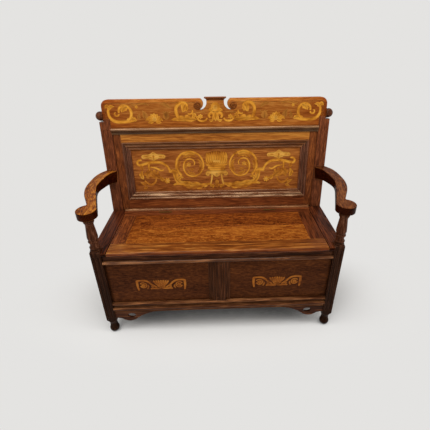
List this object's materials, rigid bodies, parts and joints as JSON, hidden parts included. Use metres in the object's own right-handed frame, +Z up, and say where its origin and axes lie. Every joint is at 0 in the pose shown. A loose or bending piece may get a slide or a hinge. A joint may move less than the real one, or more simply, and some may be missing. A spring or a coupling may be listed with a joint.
{
  "type": "box seat hall settle",
  "caption": "Box-seat oak settle with a hinged lid, turned front legs, bowed arms and a raked panelled back with an inlaid crest board.",
  "frame": {"origin": "on the floor, at the centre of the object's bounding box in plan", "axes": "+X along the bench to a viewer's right, +Y from front to back, +Z up; the settle faces -Y"},
  "size_m": [1.1636, 0.4808, 1.0105],
  "materials": {
    "apron_bracket_left": "dark oak, French polish",
    "apron_bracket_right": "dark oak, French polish",
    "arm_left": "oak, French polish",
    "arm_right": "oak, French polish",
    "back_bottom_rail": "oak, French polish",
    "back_leg_left": "dark oak, French polish",
    "back_leg_right": "dark oak, French polish",
    "back_moulding_bottom": "dark stained moulding, glossy French polish",
    "back_moulding_left": "dark stained moulding, glossy French polish",
    "back_moulding_right": "dark stained moulding, glossy French polish",
    "back_moulding_top": "dark stained moulding, glossy French polish",
    "back_panel": "golden oak, glossy French polish",
    "back_stile_left": "oak, French polish",
    "back_stile_right": "oak, French polish",
    "back_top_rail": "oak, French polish",
    "box_back_bottom_rail": "plain unpolished wood",
    "box_back_panel": "plain unpolished wood",
    "box_back_top_rail": "plain unpolished wood",
    "crest_board": "golden oak, glossy French polish",
    "crest_cap": "golden oak, glossy French polish",
    "crest_knob_left": "golden oak, glossy French polish",
    "crest_knob_right": "golden oak, glossy French polish",
    "crest_moulding": "dark stained moulding, glossy French polish",
    "floor_board_1": "plain unpolished wood",
    "floor_board_2": "plain unpolished wood",
    "floor_board_3": "plain unpolished wood",
    "floor_board_4": "plain unpolished wood",
    "floor_ledger_back": "plain unpolished wood",
    "floor_ledger_front": "plain unpolished wood",
    "front_bottom_rail": "oak, French polish",
    "front_leg_left": "dark oak, French polish",
    "front_leg_right": "dark oak, French polish",
    "front_muntin": "dark oak, French polish",
    "front_panel_left": "dark oak, French polish",
    "front_panel_right": "dark oak, French polish",
    "front_top_bead": "oak, French polish",
    "front_top_rail": "oak, French polish",
    "hinge_fixed_leaves": "aged, lightly tarnished",
    "hinge_fixed_screws": "zinc-plated, slightly dulled",
    "hinge_lid_leaves": "aged, lightly tarnished",
    "hinge_lid_screws": "zinc-plated, slightly dulled",
    "hinge_pins": "plain drawn steel",
    "hinge_rail": "oak, French polish",
    "lid_board_front": "golden oak, glossy French polish",
    "lid_board_rear_left": "golden oak, glossy French polish",
    "lid_board_rear_right": "golden oak, glossy French polish",
    "lid_front_rail": "oak, French polish",
    "lid_rear_rail": "oak, French polish",
    "lid_stile_left": "oak, French polish",
    "lid_stile_right": "oak, French polish",
    "rear_bead": "oak, French polish",
    "seat_end_left": "oak, French polish",
    "seat_end_right": "oak, French polish",
    "side_bottom_rail_left": "oak, French polish",
    "side_bottom_rail_right": "oak, French polish",
    "side_panel_left": "oak, French polish",
    "side_panel_right": "oak, French polish",
    "side_top_rail_left": "oak, French polish",
    "side_top_rail_right": "oak, French polish"
  },
  "bodies": {
    "carcase": {"apron_bracket_left": "apron_bracket_left", "apron_bracket_right": "apron_bracket_right", "arm_left": "arm_left", "arm_right": "arm_right", "back_bottom_rail": "back_bottom_rail", "back_leg_left": "back_leg_left", "back_leg_right": "back_leg_right", "back_moulding_bottom": "back_moulding_bottom", "back_moulding_left": "back_moulding_left", "back_moulding_right": "back_moulding_right", "back_moulding_top": "back_moulding_top", "back_panel": "back_panel", "back_stile_left": "back_stile_left", "back_stile_right": "back_stile_right", "back_top_rail": "back_top_rail", "box_back_bottom_rail": "box_back_bottom_rail", "box_back_panel": "box_back_panel", "box_back_top_rail": "box_back_top_rail", "crest_board": "crest_board", "crest_cap": "crest_cap", "crest_knob_left": "crest_knob_left", "crest_knob_right": "crest_knob_right", "crest_moulding": "crest_moulding", "floor_board_1": "floor_board_1", "floor_board_2": "floor_board_2", "floor_board_3": "floor_board_3", "floor_board_4": "floor_board_4", "floor_ledger_back": "floor_ledger_back", "floor_ledger_front": "floor_ledger_front", "front_bottom_rail": "front_bottom_rail", "front_leg_left": "front_leg_left", "front_leg_right": "front_leg_right", "front_muntin": "front_muntin", "front_panel_left": "front_panel_left", "front_panel_right": "front_panel_right", "front_top_bead": "front_top_bead", "front_top_rail": "front_top_rail", "hinge_fixed_leaves": "hinge_fixed_leaves", "hinge_fixed_screws": "hinge_fixed_screws", "hinge_pins": "hinge_pins", "hinge_rail": "hinge_rail", "rear_bead": "rear_bead", "seat_end_left": "seat_end_left", "seat_end_right": "seat_end_right", "side_bottom_rail_left": "side_bottom_rail_left", "side_bottom_rail_right": "side_bottom_rail_right", "side_panel_left": "side_panel_left", "side_panel_right": "side_panel_right", "side_top_rail_left": "side_top_rail_left", "side_top_rail_right": "side_top_rail_right"},
    "lid": {"lid_board_front": "lid_board_front", "lid_board_rear_left": "lid_board_rear_left", "lid_board_rear_right": "lid_board_rear_right", "lid_front_rail": "lid_front_rail", "lid_rear_rail": "lid_rear_rail", "lid_stile_left": "lid_stile_left", "lid_stile_right": "lid_stile_right", "hinge_lid_leaves": "hinge_lid_leaves", "hinge_lid_screws": "hinge_lid_screws"}
  },
  "joints": [
    {"name": "lid_hinge", "type": "hinge", "parent": "carcase", "child": "lid", "pos_m": [0, 0.12177, 0.47], "axis": [-1, 0, 0], "range_deg": [0, 100]}
  ]
}
